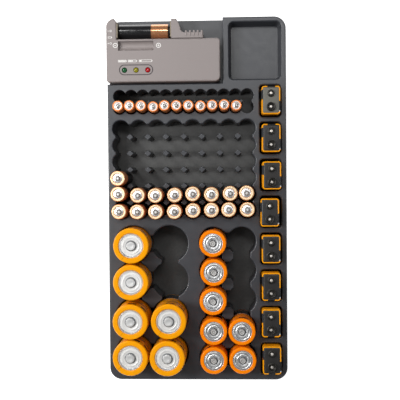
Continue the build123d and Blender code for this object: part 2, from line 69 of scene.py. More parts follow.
class Graph:
    """Small helper that builds a node tree with function calls."""

    def __init__(self, name):
        self.mat = bpy.data.materials.new(name)
        self.mat.use_nodes = True
        self.nt = self.mat.node_tree
        self.nt.nodes.clear()
        self.out = self.nt.nodes.new("ShaderNodeOutputMaterial")
        self.bsdf = self.nt.nodes.new("ShaderNodeBsdfPrincipled")
        self.nt.links.new(self.bsdf.outputs[0], self.out.inputs[0])
        self.coord = self.nt.nodes.new("ShaderNodeTexCoord").outputs["Object"]
        self._xyz = None

    def put(self, node, key, value):
        sock = node.inputs[key]
        if isinstance(value, bpy.types.NodeSocket):
            self.nt.links.new(value, sock)
        else:
            sock.default_value = value

    def new(self, kind, ins=(), **props):
        n = self.nt.nodes.new(kind)
        for k, v in props.items():
            setattr(n, k, v)
        for k, v in dict(ins).items():
            self.put(n, k, v)
        return n

    def m(self, op, a, b=0.0, c=0.0, clamp=False):
        n = self.new("ShaderNodeMath", {0: a, 1: b, 2: c}, operation=op)
        n.use_clamp = clamp
        return n.outputs[0]

    def xyz(self):
        if self._xyz is None:
            self._xyz = self.new("ShaderNodeSeparateXYZ", {0: self.coord}).outputs
        return self._xyz

    def noise(self, scale, detail=3.0, rough=0.55, vec=None, w=None):
        if w is not None:
            n = self.new("ShaderNodeTexNoise", {"W": w, "Scale": scale, "Detail": detail, "Roughness": rough}, noise_dimensions="1D")
        else:
            n = self.new("ShaderNodeTexNoise", {"Vector": vec or self.coord, "Scale": scale, "Detail": detail, "Roughness": rough})
        return n.outputs["Fac"]

    def rng(self, v, a, b, c, d, smooth=False):
        n = self.new("ShaderNodeMapRange", {"Value": v, "From Min": a, "From Max": b, "To Min": c, "To Max": d})
        n.interpolation_type = "SMOOTHSTEP" if smooth else "LINEAR"
        return n.outputs[0]

    def ramp(self, fac, stops, mode="LINEAR"):
        n = self.new("ShaderNodeValToRGB", {0: fac})
        r = n.color_ramp
        r.interpolation = mode
        while len(r.elements) > 1:
            r.elements.remove(r.elements[-1])
        r.elements[0].position, r.elements[0].color = stops[0][0], (*stops[0][1], 1)
        for p, c in stops[1:]:
            e = r.elements.new(p)
            e.color = (*c, 1)
        return n.outputs[0]

    def mix(self, fac, a, b, blend="MIX"):
        n = self.nt.nodes.new("ShaderNodeMix")
        n.data_type = "RGBA"
        n.blend_type = blend
        self.put(n, 0, fac)
        self.put(n, 6, (*a, 1) if isinstance(a, tuple) else a)
        self.put(n, 7, (*b, 1) if isinstance(b, tuple) else b)
        return n.outputs[2]

    def bump(self, height, strength, dist, normal=None):
        ins = {"Height": height, "Strength": strength, "Distance": dist}
        n = self.new("ShaderNodeBump", ins)
        if normal is not None:
            self.nt.links.new(normal, n.inputs["Normal"])
        return n.outputs[0]

    def band(self, v, lo, hi):
        return self.m("MULTIPLY", self.m("GREATER_THAN", v, lo), self.m("LESS_THAN", v, hi))

    def set(self, **kw):
        for k, v in kw.items():
            key = {"base": "Base Color", "rough": "Roughness", "metal": "Metallic", "normal": "Normal", "coat": "Coat Weight",
                   "coat_rough": "Coat Roughness", "spec": "Specular IOR Level", "trans": "Transmission Weight", "ior": "IOR",
                   "sss": "Subsurface Weight", "aniso": "Anisotropic"}[k]
            if key == "Base Color" and isinstance(v, tuple):
                v = (*v, 1)
            self.put(self.bsdf, key, v)
        return self.mat


def shade(c, k):
    return tuple(min(1.0, x * k) for x in c)


def moulded(name, colour, rough=0.5, vary=0.08, grain=1600.0, grain_mm=0.03, strength=0.35, spec=0.5, rim_highlight=None, deep=None):
    """Moulded plastic: spark-eroded grain, soft colour clouds; optionally the top rims are made glossier and lightened
    as painted highlight.
    """
    g = Graph(name)
    big = g.noise(9.0, 3.0)
    mid = g.noise(140.0, 4.0, 0.6)
    fine = g.noise(grain, 2.0, 0.5)
    tone = g.m("ADD", g.m("MULTIPLY", big, 0.55), g.m("MULTIPLY", mid, 0.45))
    col = g.ramp(tone, [(0.3, shade(colour, 1 - vary)), (0.5, colour), (0.7, shade(colour, 1 + vary))])
    speck = g.rng(g.noise(2600.0, 1.0, 0.4), 0.60, 0.72, 0.0, 0.35)
    col = g.mix(speck, col, shade(colour, 1.35))
    r = g.rng(mid, 0.3, 0.7, rough - 0.03, rough + 0.03)
    if deep:
        # the floors of the sockets have a coarser, paler finish
        k = g.rng(g.xyz()[2], deep[0] * MM, deep[1] * MM, 1.0, 0.0, True)
        col = g.mix(k, col, g.mix(g.rng(g.noise(420.0, 3.0, 0.6), 0.35, 0.65, 0.0, 1.0), shade(deep[2], 0.86), shade(deep[2], 1.12)))
        r = g.m("ADD", r, g.m("MULTIPLY", k, deep[3]))
    # top rims: lighter colour as painted highlight, plus a lower roughness
    if rim_highlight:
        z = g.xyz()[2]
        nz = g.new("ShaderNodeSeparateXYZ", {0: g.new("ShaderNodeNewGeometry").outputs["Normal"]}).outputs[2]
        side = g.rng(g.m("ABSOLUTE", nz), 0.25, 0.97, 1.0, 0.0)
        high = g.rng(z, rim_highlight[0] * MM, rim_highlight[1] * MM, 0.0, 1.0, True)
        k = g.m("MULTIPLY", g.m("MULTIPLY", side, high), g.rng(mid, 0.25, 0.6, 0.6, 1.0))
        col = g.mix(k, col, shade(colour, rim_highlight[2]))
        r = g.m("SUBTRACT", r, g.m("MULTIPLY", k, 0.14))
    n = g.bump(fine, strength, grain_mm * MM)
    n = g.bump(mid, 0.08, 0.2 * MM, n)
    return g.set(base=col, rough=r, normal=n, spec=spec)


def plated(name, colour, rough=0.3, lathe=True, scale=2600.0, metal=1.0):
    """Nickel plated steel with fine turning lines about the local Z axis."""
    g = Graph(name)
    x, y, z = g.xyz()
    if lathe:
        rad = g.m("POWER", g.m("ADD", g.m("MULTIPLY", x, x), g.m("MULTIPLY", y, y)), 0.5)
        lines = g.noise(scale, 2.0, 0.6, w=rad)
    else:
        lines = g.noise(scale, 2.0, 0.6)
    cloud = g.noise(260.0, 4.0, 0.65)
    stain = g.noise(90.0, 3.0, 0.5)
    col = g.ramp(cloud, [(0.3, shade(colour, 0.9)), (0.55, colour), (0.8, shade(colour, 1.06))])
    col = g.mix(g.rng(stain, 0.58, 0.75, 0.0, 0.35), col, (colour[0] * 0.8, colour[1] * 0.74, colour[2] * 0.66))
    r = g.rng(cloud, 0.3, 0.7, rough - 0.06, rough + 0.09)
    n = g.bump(lines, 0.1, 0.012 * MM)
    n = g.bump(cloud, 0.06, 0.02 * MM, n)
    return g.set(base=col, rough=r, metal=metal, normal=n)


def film(name, bands, height, rough=0.3, metal_of=None, marks=None, coat=0.03, seam=True, spec=0.14):
    """Printed plastic sleeve: colour bands up the local Z axis, a lap seam and fine wrinkles."""
    g = Graph(name)
    x, y, z = g.xyz()
    t = g.m("DIVIDE", z, height * MM)
    soft = g.noise(320.0, 3.0, 0.55)
    col = g.ramp(t, bands, "CONSTANT") if len(bands) > 1 else bands[0][1]
    metal = None
    if metal_of:
        metal = g.ramp(t, [(s, (v, v, v)) for (s, _), v in zip(bands, metal_of)], "CONSTANT") if len(bands) > 1 else metal_of[0]
    ang = g.m("ARCTAN2", y, x)
    if marks:
        for lo, hi, a0, a1, c in marks:
            k = g.m("MULTIPLY", g.band(t, lo, hi), g.band(ang, a0, a1))
            col = g.mix(k, col, c)
    if seam:
        k = g.band(ang, -2.32, -2.29)
        col = g.mix(g.m("MULTIPLY", k, 0.45), col, (0.02, 0.015, 0.01))
    col = g.mix(g.rng(soft, 0.25, 0.75, 0.0, 0.1), col, (0.0, 0.0, 0.0))
    r = g.rng(soft, 0.3, 0.7, rough - 0.05, rough + 0.08)
    stretch = g.new("ShaderNodeMapping", {"Vector": g.coord, "Scale": (1.0, 1.0, 0.22)}).outputs[0]
    n = g.bump(g.noise(520.0, 3.0, 0.5, vec=stretch), 0.08, 0.05 * MM)
    n = g.bump(g.noise(4200.0, 1.0, 0.4), 0.04, 0.01 * MM, n)
    m = g.set(base=col, rough=r, normal=n, coat=coat, coat_rough=0.12, spec=spec)
    if metal_of:
        g.put(g.bsdf, "Metallic", metal)
    return m


TRAY_C = lin(52, 54, 59)
TAUPE = lin(141, 132, 130)
AMBER = (0.93, 0.36, 0.001)
ORANGE = (1.0, 0.245, 0.001)
COPPER = (0.90, 0.42, 0.20)
BLACK = (0.012, 0.012, 0.013)
STEEL = (0.80, 0.80, 0.79)

# the tray's top rims carry a painted highlight
mat_tray = moulded("charcoal_plastic", TRAY_C, 0.37, 0.05, spec=0.6, rim_highlight=(33.9, 35.3, 1.9), deep=(6.0, 24.0, lin(64, 64, 63), 0.14))
mat_taupe = moulded("taupe_plastic", TAUPE, 0.5, 0.035, grain=2100.0, grain_mm=0.02, strength=0.3)
mat_taupe_in = moulded("taupe_plastic_inside", shade(TAUPE, 0.7), 0.55, 0.05)
mat_top = plated("cell_steel", (0.72, 0.71, 0.69), 0.46, metal=0.35)
mat_top_small = plated("cell_steel_small", (0.86, 0.86, 0.86), 0.32, metal=0.92)
# sloping steel faces of the cell tops: dark colour as painted shade
mat_slope_painted_shade = plated("cell_steel_slope", (0.24, 0.25, 0.26), 0.38, metal=0.6)
mat_nub = plated("cell_steel_nub", (0.66, 0.66, 0.65), 0.4, metal=0.5)
# walls and rings of the buttons on C, AA and AAA cells: dark colour as painted shade
mat_nub_painted_shade = plated("cell_steel_nub_small", (0.25, 0.225, 0.205), 0.46, metal=0.4)
# cream ring on top of the AA sleeve lip: painted highlight
mat_ring_painted_highlight = plated("cell_ring_bright", (0.92, 0.70, 0.44), 0.38, metal=0.45)
mat_base = plated("cell_steel_base", shade(STEEL, 0.9), 0.38)
mat_strip = plated("contact_strip", (0.20, 0.17, 0.13), 0.45, lathe=False, scale=900.0, metal=0.85)
mat_nickel = plated("nickel_plate", (0.50, 0.48, 0.45), 0.38, lathe=False, scale=1500.0)
mat_zinc = plated("zinc_steel", (0.62, 0.62, 0.63), 0.35, lathe=False, scale=1400.0)
mat_groove = moulded("insulator_black", lin(30, 30, 34), 0.5, 0.1, grain=2400.0)
mat_print = moulded("white_ink", lin(236, 234, 230), 0.55, 0.04, grain=3000.0, grain_mm=0.01, strength=0.2)

mat_d = film("sleeve_d", [(0.0, BLACK), (0.035, AMBER), (0.06, BLACK), (0.40, STEEL), (0.415, AMBER)], 60.0, 0.24,
             marks=[(0.855, 0.925, 0.45, 0.85, BLACK), (0.855, 0.925, 1.15, 1.65, BLACK), (0.74, 0.76, 0.45, 1.65, BLACK), (0.70, 0.715, 0.45, 1.65, BLACK),
                    (0.66, 0.675, 0.45, 1.4, BLACK), (0.855, 0.925, 2.6, 3.0, BLACK), (0.74, 0.80, 2.2, 3.0, BLACK), (0.855, 0.925, -1.6, -0.9, BLACK)])
mat_c = film("sleeve_c", [(0.0, BLACK), (0.04, ORANGE), (0.065, BLACK), (0.46, STEEL), (0.475, ORANGE)], 48.5, 0.24,
             marks=[(0.84, 0.92, 0.5, 1.0, BLACK), (0.60, 0.80, 1.5, 2.2, BLACK), (0.70, 0.72, 0.4, 1.3, BLACK), (0.65, 0.67, 0.4, 1.3, BLACK),
                    (0.84, 0.92, -2.1, -1.4, BLACK)])
mat_aa = film("sleeve_aa", [(0.0, BLACK), (0.635, (0.22, 0.10, 0.05)), (0.645, (0.80, 0.34, 0.15))], 49.3, 0.34, metal_of=(0.0, 0.2, 0.3))
mat_aaa = film("sleeve_aaa", [(0.0, BLACK), (0.605, (0.22, 0.10, 0.05)), (0.615, (0.82, 0.31, 0.12))], 43.6, 0.34, metal_of=(0.0, 0.2, 0.3))
lip_aa = film("sleeve_lip_aa", [(0.0, (0.90, 0.40, 0.15))], 49.3, 0.3, metal_of=(0.35,), seam=False)
lip_aaa = film("sleeve_lip_aaa", [(0.0, (0.88, 0.27, 0.07))], 43.6, 0.38, metal_of=(0.2,), seam=False)


# ------------------------------------------------------------------ meshes
def finish_mesh(name, bm, mats, body, matrix=None, angle=38.0):
    me = bpy.data.meshes.new(name)
    bmesh.ops.recalc_face_normals(bm, faces=bm.faces)
    bm.to_mesh(me)
    bm.free()
    for m in mats:
        me.materials.append(m)
    me.shade_smooth()
    me.set_sharp_from_angle(angle=math.radians(angle))
    ob = bpy.data.objects.new(name, me)
    bpy.context.scene.collection.objects.link(ob)
    if matrix is not None:
        ob.matrix_world = matrix
    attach(ob, body)
    return ob


def soften(points, steps=4):
    """(r, z, corner radius, zone) profile, with its corners rounded. A zone colours the run that starts at its point."""
    out = []
    n = len(points)
    for i, (r, z, f, zone) in enumerate(points):
        if f <= 0 or i in (0, n - 1):
            out.append((r, z, zone))
            continue
        p, a, b = Vector((r, z)), Vector(points[i - 1][:2]), Vector(points[i + 1][:2])
        u, v = (a - p), (b - p)
        lu, lv = u.length, v.length
        u.normalize()
        v.normalize()
        cosang = max(-1.0, min(1.0, u.dot(v)))
        ang = math.acos(cosang)
        if ang > math.pi - 0.02 or ang < 0.02:
            out.append((r, z, zone))
            continue
        d = min(f / math.tan(ang / 2), 0.48 * lu, 0.48 * lv)
        s, e = p + u * d, p + v * d
        prev = points[i - 1][3]
        for k in range(steps + 1):
            t = k / steps
            q = s * (1 - t) ** 2 + p * (2 * t * (1 - t)) + e * t ** 2
            out.append((q.x, q.y, prev if t < 0.5 else zone))
    return out


def lathe(bm, prof, segs, wobble=None):
    """Turns a profile (r, z, zone) in mm about the local Z axis."""
    rings = []
    for r, z, zone in prof:
        if r < 1e-6:
            rings.append(([bm.verts.new((0, 0, z * MM))], zone))
            continue
        ring = []
        for k in range(segs):
            a = TAU * k / segs
            rr = r + (wobble(a, r, z) if wobble else 0.0)
            ring.append(bm.verts.new((rr * math.cos(a) * MM, rr * math.sin(a) * MM, z * MM)))
        rings.append((ring, zone))
    for (a, zone), (b, _) in zip(rings, rings[1:]):
        if len(a) == 1 and len(b) == 1:
            continue
        for k in range(segs):
            k2 = (k + 1) % segs
            if len(a) == 1:
                f = bm.faces.new((a[0], b[k], b[k2]))
            elif len(b) == 1:
                f = bm.faces.new((a[k], a[k2], b[0]))
            else:
                f = bm.faces.new((a[k], a[k2], b[k2], b[k]))
            f.material_index = zone


# profiles: corner list (r, z, rounding, zone). Zones: 0 sleeve, 1 top plate, 2 base plate, 3 insulator, 4 sleeve lip,
# 5 sloping steel darkened as painted shade, 6 contact button, 7 bright ring as painted highlight, 8 shiny plate, 9
# darker button parts as painted shade
def cell_profile(kind):
    if kind == "d":
        h, top = 61.5, 60.0
        body = [(0, 0.35, 0, 2), (9.0, 0.35, 0.2, 2), (9.6, 0.0, 0.2, 2), (15.4, 0.0, 0.3, 2), (15.9, 0.35, 0.1, 0), (16.35, 0.2, 0.2, 0),
                (16.7, 0.7, 0.3, 0), (16.7, top - 0.95, 0.9, 0), (16.1, top - 0.1, 0.6, 4), (15.2, top, 0.5, 4), (12.5, top, 0.25, 4), (12.1, top - 0.25, 0.1, 4),
                (11.95, top - 1.05, 0.08, 8), (11.15, top - 0.22, 0.12, 1), (10.85, top - 0.2, 0.12, 8), (9.95, top - 1.15, 0.12, 1),
                (8.1, top - 1.15, 0.15, 1), (7.85, top - 0.85, 0.1, 1), (7.5, top - 0.8, 0.15, 1), (7.0, top - 0.98, 0.2, 1),
                (5.2, top - 1.15, 0.12, 5), (4.75, top - 0.8, 0.1, 5), (4.2, h - 0.3, 0.2, 8), (3.8, h - 0.02, 0.2, 6),
                (2.2, h, 0.3, 6), (1.6, h - 0.08, 0.3, 6), (0, h - 0.12, 0, 6)]
        return body, 96
    if kind == "c":
        h, top = 50.0, 48.5
        body = [(0, 0.35, 0, 2), (7.0, 0.35, 0.2, 2), (7.5, 0.0, 0.2, 2), (11.8, 0.0, 0.3, 2), (12.2, 0.3, 0.1, 0), (12.6, 0.2, 0.15, 0),
                (12.9, 0.6, 0.3, 0), (12.9, top - 0.85, 0.8, 0), (12.35, top - 0.08, 0.5, 4), (11.6, top, 0.4, 4), (9.95, top, 0.25, 4), (9.6, top - 0.3, 0.1, 4),
                (9.5, top - 0.75, 0.06, 8), (8.75, top - 0.75, 0.1, 5), (8.5, top - 0.25, 0.12, 8), (7.5, top - 0.12, 0.2, 8), (7.1, top - 0.35, 0.12, 5),
                (6.85, top - 1.2, 0.12, 8), (6.1, top - 1.2, 0.12, 5), (5.9, top - 0.7, 0.12, 8), (5.5, top - 0.55, 0.15, 8), (3.9, top - 0.75, 0.2, 5),
                (3.6, top - 1.05, 0.12, 5), (3.25, top - 0.7, 0.1, 5), (2.8, h - 0.25, 0.2, 9), (2.4, h - 0.02, 0.15, 6), (1.5, h - 0.1, 0.12, 9), (0.9, h - 0.16, 0.1, 6),
                (0, h - 0.2, 0, 6)]
        return body, 80
    if kind == "aa":
        h, top = 50.5, 49.3
        body = [(0, 0.3, 0, 2), (3.9, 0.3, 0.15, 2), (4.3, 0.0, 0.15, 2), (6.3, 0.0, 0.2, 2), (6.55, 0.2, 0.1, 0), (6.85, 0.15, 0.1, 0),
                (7.1, 0.5, 0.2, 0), (7.1, top - 0.75, 0.7, 4), (6.55, top - 0.05, 0.4, 7), (6.0, top, 0.3, 7), (4.95, top - 0.08, 0.15, 4), (4.7, top - 0.25, 0.08, 4),
                (4.6, top - 0.85, 0.06, 8), (3.7, top - 0.5, 0.2, 8), (2.9, top - 0.32, 0.1, 8), (2.65, top - 0.28, 0.05, 5),
                (2.5, top + 0.3, 0.1, 5), (2.3, h - 0.15, 0.2, 9), (1.8, h, 0.12, 9), (1.0, h - 0.12, 0.12, 6), (0, h - 0.14, 0, 6)]
        return body, 64
    h, top = 44.5, 43.6
    body = [(0, 0.3, 0, 2), (2.8, 0.3, 0.1, 2), (3.1, 0.0, 0.1, 2), (4.5, 0.0, 0.15, 2), (4.75, 0.2, 0.1, 0), (4.95, 0.15, 0.1, 0),
            (5.15, 0.45, 0.15, 0), (5.15, top - 0.6, 0.55, 4), (4.65, top - 0.02, 0.3, 4), (4.2, top, 0.1, 4), (3.85, top - 0.1, 0.08, 1), (3.1, top - 0.12, 0.1, 4),
            (2.95, top - 0.35, 0.05, 5), (2.7, top - 0.5, 0.05, 8), (2.2, top - 0.3, 0.1, 8), (1.9, top - 0.25, 0.06, 5), (1.75, top - 0.0, 0.08, 5),
            (1.6, h - 0.12, 0.15, 9), (1.2, h, 0.1, 9), (0.6, h - 0.08, 0.1, 6), (0, h - 0.1, 0, 6)]
    return body, 48


SLEEVES = {"d": (mat_d, mat_d), "c": (mat_c, mat_c), "aa": (mat_aa, lip_aa), "aaa": (mat_aaa, lip_aaa)}
PROTO = {}


def round_cell_mesh(kind):
    if kind not in PROTO:
        pts, segs = cell_profile(kind)
        bm = bmesh.new()
        lathe(bm, soften(pts), segs)
        bmesh.ops.recalc_face_normals(bm, faces=bm.faces)
        me = bpy.data.meshes.new("cell_" + kind)
        bm.to_mesh(me)
        bm.free()
        sleeve, lip = SLEEVES[kind]
        for m in (sleeve, mat_top, mat_base, mat_groove, lip, mat_slope_painted_shade, mat_nub, mat_ring_painted_highlight, mat_top_small, mat_nub_painted_shade):
            me.materials.append(m)
        me.shade_smooth()
        me.set_sharp_from_angle(angle=math.radians(50))
        PROTO[kind] = me
    return PROTO[kind]


GAP, FLOOR_Z = 0.25, 2.5
GRID = {"aaa": (-74.56, 100.4, 11.23, 11.40), "aa": (-73.65, 68.96, 17.46, 15.94), "d": (-62.43, -42.94, 35.34, 35.24),
        "c": (15.39, -40.71, 27.32, 28.09)}
SIZE = {"d": (16.7, 61.5), "c": (12.9, 50.0), "aa": (7.1, 50.5), "aaa": (5.15, 44.5)}
LEAN = {
    "d": [(0, 0, 1.1, 0.2), (0, 1, 0.55, 0.85), (0, 2, -0.3, -1.25), (0, 3, -0.6, -0.1), (1, 2, 0.55, -0.8), (1, 3, -1.1, -0.4)],
    "c": [(0, 0, -0.3, -1.1), (0, 1, 0.6, -0.7), (0, 2, -0.35, -0.3), (0, 3, 0.05, -0.9), (0, 4, 0.1, -0.5),
          (1, 3, -0.4, -0.95), (1, 4, 0.3, -0.3)],
    "aa": [(0, 3, -1.25, -0.4),
           (0, 4, -1.1, 0.65), (1, 4, 0.15, -0.8), (2, 4, -0.45, -1.0), (3, 4, 0.6, -0.75), (4, 4, 0.3, 0.3),
           (5, 4, 0.6, -0.35), (6, 4, 1.0, 0.5), (7, 4, -1.1, 0.95),
           (0, 5, -0.4, -0.25), (1, 5, -0.45, -0.55), (2, 5, -0.3, -0.7), (3, 5, 0.2, -0.55), (4, 5, 0.5, 0.5),
           (5, 5, 0.6, 0.8), (6, 5, -0.6, 1.15), (7, 5, -0.4, 1.1)],
    "aaa": [(0, 1, -0.35, 1.15), (1, 1, -0.8, 1.35), (2, 1, -0.75, 1.2), (3, 1, -0.2, 0.05), (4, 1, -0.65, 1.15), (5, 1, -0.5, 1.1),
            (6, 1, -0.25, 1.05), (7, 1, 0.2, 0.35), (8, 1, 0.15, 1.0), (9, 1, 0.4, 1.3), (10, 1, 0.65, 0.55)],
    "nine_volt": [(0.1, -0.6), (0.2, -0.8), (0.6, -0.7), (-1.8, -0.3), (-0.6, 0.5), (-0.6, 0.3), (-0.95, 1.3), (-0.35, 1.35)],
}


def leaned(x, y, z, dx, dy, h, r, half=None, spin=0.0):
    bx, by = -0.15 * dx, -0.15 * dy
    ax, ay = -math.asin((dy - by) / h), math.asin((dx - bx) / h)
    if half:
        lift = (half[0] * abs(dx - bx) + half[1] * abs(dy - by)) / h + GAP
    else:
        lift = r * math.hypot(dx - bx, dy - by) / h + GAP
    return (Matrix.Translation(Vector((x + bx, y + by, z + lift)) * MM) @ Matrix.Rotation(ax, 4, "X")
            @ Matrix.Rotation(ay, 4, "Y") @ Matrix.Rotation(spin, 4, "Z"))


body_of = {n: b for b, ns in (frame["record"].get("behaviour") or {})["bodies"].items() for n in ns}


def put_cell(kind, node, matrix, name=None):
    ob = bpy.data.objects.new(name or "v_" + node, round_cell_mesh(kind))
    bpy.context.scene.collection.objects.link(ob)
    ob.matrix_world = matrix
    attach(ob, body_of[node])
    return ob


for kind in ("d", "c", "aa"):
    gx, gy, px, py = GRID[kind]
    r, h = SIZE[kind]
    for i, (col, row, dx, dy) in enumerate(LEAN[kind]):
        node = "cell_%s_%02d" % (kind, i + 1)
        spin = 0.37 * math.sin(3.1 * i + 0.4) if kind == "d" else 1.9 * i
        ob = put_cell(kind, node, leaned(gx + col * px, gy - row * py, FLOOR_Z, dx, dy, h, r, spin=spin))
        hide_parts(node)
gx, gy, px, py = GRID["aaa"]
r, h = SIZE["aaa"]
for i, (col, row, dx, dy) in enumerate(LEAN["aaa"]):
    ob = put_cell("aaa", "cells_aaa", leaned(gx + col * px, gy - row * py, FLOOR_Z, dx, dy, h, r, spin=1.3 * i), "v_cell_aaa_%02d" % (i + 1))
    if i == 0:
        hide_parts("cells_aaa")
mat_test = film("sleeve_test", [(0.0, (0.008, 0.008, 0.009)), (0.635, (0.22, 0.10, 0.05)), (0.645, COPPER), (0.972, (0.03, 0.018, 0.012))], 49.3, 0.17,
                metal_of=(0.0, 0.5, 0.82, 0.4), coat=0.35, spec=0.5)
test = put_cell("aa", "cell_aa_test", Matrix.Translation(Vector((-75.2, 163.3, 29.0)) * MM) @ Matrix.Rotation(math.pi / 2, 4, "Y") @ Matrix.Rotation(0.9, 4, "Z"))
test.data = test.data.copy()
test.data.name = "cell_aa_glossy"
test.data.materials[0] = mat_test
for k in (4, 7):
    test.data.materials[k] = mat_groove
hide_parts("cell_aa_test")


# ----------------------------------------------------------- nine-volt cells
def rr_loop(w, l, r, n=6):
    """Rounded rectangle, points counter-clockwise in mm."""
    pts = []
    for cx, cy, a0 in ((w / 2 - r, l / 2 - r, 0), (-w / 2 + r, l / 2 - r, 90), (-w / 2 + r, -l / 2 + r, 180), (w / 2 - r, -l / 2 + r, 270)):
        for k in range(n + 1):
            a = math.radians(a0 + 90 * k / n)
            pts.append((cx + r * math.cos(a), cy + r * math.sin(a)))
    return pts


def box_loft(bm, w, l, r, prof, cap0=None, cap1=None):
    """Closed skin through rounded rectangles: prof is (inset, z, zone)."""
    loops = []
    for inset, z, zone in prof:
        rr = max(r - inset, 0.35)
        loops.append(([bm.verts.new((x * MM, y * MM, z * MM)) for x, y in rr_loop(w - 2 * inset, l - 2 * inset, rr)], zone))
    for (a, zone), (b, _) in zip(loops, loops[1:]):
        n = len(a)
        for k in range(n):
            f = bm.faces.new((a[k], a[(k + 1) % n], b[(k + 1) % n], b[k]))
            f.material_index = zone
    if cap0 is not None:
        f = bm.faces.new(loops[0][0][::-1])
        f.material_index = cap0
    if cap1 is not None:
        f = bm.faces.new(loops[-1][0])
        f.material_index = cap1


def jacket_material(name, gap=None):
    """Printed steel jacket: amber with black and bare panels. gap leaves the middle of one short side black."""
    g = Graph(name)
    x, y, z = g.xyz()
    soft = g.noise(300.0, 3.0, 0.55)
    left = g.m("LESS_THAN", x, -7.3 * MM)
    right = g.m("GREATER_THAN", x, 7.3 * MM)
    col = g.mix(g.m("MULTIPLY", left, g.band(y, 0.6 * MM, 9.6 * MM)), AMBER, (0.03, 0.032, 0.036))
    col = g.mix(g.m("MULTIPLY", right, g.band(y, -9.8 * MM, -1.0 * MM)), col, BLACK)
    col = g.mix(g.m("MULTIPLY", right, g.band(y, -10.9 * MM, -9.8 * MM)), col, (0.55, 0.55, 0.56))
    if gap == "top":
        col = g.mix(g.m("MULTIPLY", g.band(x, -3.6 * MM, 4.0 * MM), g.m("GREATER_THAN", y, 11.5 * MM)), col, BLACK)
    if gap == "low":
        col = g.mix(g.m("MULTIPLY", g.band(x, -3.4 * MM, 3.2 * MM), g.m("LESS_THAN", y, -11.5 * MM)), col, BLACK)
    low = g.m("LESS_THAN", z, 17.0 * MM)
    col = g.mix(low, col, BLACK)
    col = g.mix(g.band(z, 17.0 * MM, 17.9 * MM), col, (0.55, 0.55, 0.56))
    front = g.m("MULTIPLY", g.m("LESS_THAN", g.m("ABSOLUTE", x), 6.0 * MM), g.band(z, 22.0 * MM, 30.0 * MM))
    col = g.mix(front, col, BLACK)
    col = g.mix(g.rng(soft, 0.25, 0.75, 0.0, 0.08), col, (0.0, 0.0, 0.0))
    r = g.rng(soft, 0.3, 0.7, 0.26, 0.4)
    n = g.bump(g.noise(700.0, 2.0, 0.5), 0.1, 0.04 * MM)
    return g.set(base=col, rough=r, normal=n, spec=0.12, coat=0.02, coat_rough=0.15)


mat_jacket = {k: jacket_material("jacket_nine_volt_" + k, k) for k in ("plain", "top", "low")}
mat_nine_top = moulded("nine_volt_top", lin(32, 30, 29), 0.42, 0.12, grain=1500.0)
mat_nine_top_pale = moulded("nine_volt_top_pale", lin(98, 96, 88), 0.42, 0.1, grain=1500.0)
# snap terminals in near-black metal: painted dark reflection; the centre discs keep a plain metal colour
mat_snap_painted_dark_reflection = plated("snap_terminal_painted_dark_reflection", (0.035, 0.033, 0.03), 0.42, lathe=False, scale=1800.0, metal=0.8)
mat_snap_top = plated("snap_centre", (0.72, 0.68, 0.63), 0.5, lathe=False, scale=1800.0)


def nine_mesh(name, top_mat, jacket):
    bm = bmesh.new()
    w, l, h = 17.5, 26.5, 45.9
    prof = [(1.3, 0.5, 1), (1.1, 0.5, 1), (1.0, 0.0, 0), (0.55, 0.0, 0), (0.2, 0.12, 0), (0.03, 0.4, 0), (0.0, 0.75, 0),
            (0.0, h - 0.7, 0), (0.04, h - 0.4, 0), (0.16, h - 0.12, 0), (0.4, h, 0), (1.0, h - 0.03, 0), (1.12, h - 0.15, 3), (1.2, h - 0.3, 3),
            (1.24, h - 0.75, 1), (1.4, h - 0.75, 1), (1.6, h - 0.7, 1), (1.9, h - 0.5, 1), (2.4, h - 0.47, 1)]
    box_loft(bm, w, l, 2.4, prof, cap0=1, cap1=1)
    bm2 = bmesh.new()
    z0 = h - 0.55
    # small plain terminal and large slotted one, with their dark seats; the terminals' near-black metal is a painted
    # dark reflection
    for cy, pts, seg, wob in (
        (6.35, [(0, 48.42, 0, 4), (1.05, 48.42, 0.2, 4), (1.3, 48.3, 0.12, 2), (1.5, 47.9, 0.1, 2), (1.9, 48.45, 0.2, 2), (2.6, 48.45, 0.3, 2), (2.85, 48.1, 0.25, 2),
                (2.7, 47.2, 0.3, 2), (2.65, 46.3, 0.2, 2), (3.5, 46.1, 0.2, 1), (3.6, z0, 0, 1)], 32, None),
        (-6.35, [(0, 46.9, 0, 4), (1.05, 46.9, 0.2, 4), (1.4, 46.4, 0.2, 2), (2.2, 46.2, 0.2, 2), (2.75, 46.6, 0.2, 2), (2.85, 47.6, 0.2, 2), (3.15, 48.2, 0.15, 2),
                 (3.6, 48.4, 0.2, 2), (3.95, 48.1, 0.25, 2), (3.7, 47.2, 0.3, 2), (3.65, 46.2, 0.2, 2), (4.3, 46.0, 0.2, 1), (4.4, z0, 0, 1)], 48,
         lambda a, r, z: -0.16 * max(0.0, math.cos(6 * a)) ** 6 * (1 if z > 46.7 and r > 2.5 else 0)),
    ):
        tmp = bmesh.new()
        lathe(tmp, soften(pts, 3), seg, wob)
        bmesh.ops.translate(tmp, verts=tmp.verts, vec=(0, cy * MM, 0))
        me = bpy.data.meshes.new("t")
        tmp.to_mesh(me)
        tmp.free()
        bm.from_mesh(me)
        bpy.data.meshes.remove(me)
    bm2.free()
    bmesh.ops.recalc_face_normals(bm, faces=bm.faces)
    me = bpy.data.meshes.new(name)
    bm.to_mesh(me)
    bm.free()
    for m in (jacket, top_mat, mat_snap_painted_dark_reflection, mat_groove_steel, mat_snap_top):
        me.materials.append(m)
    me.shade_smooth()
    me.set_sharp_from_angle(angle=math.radians(45))
    return me


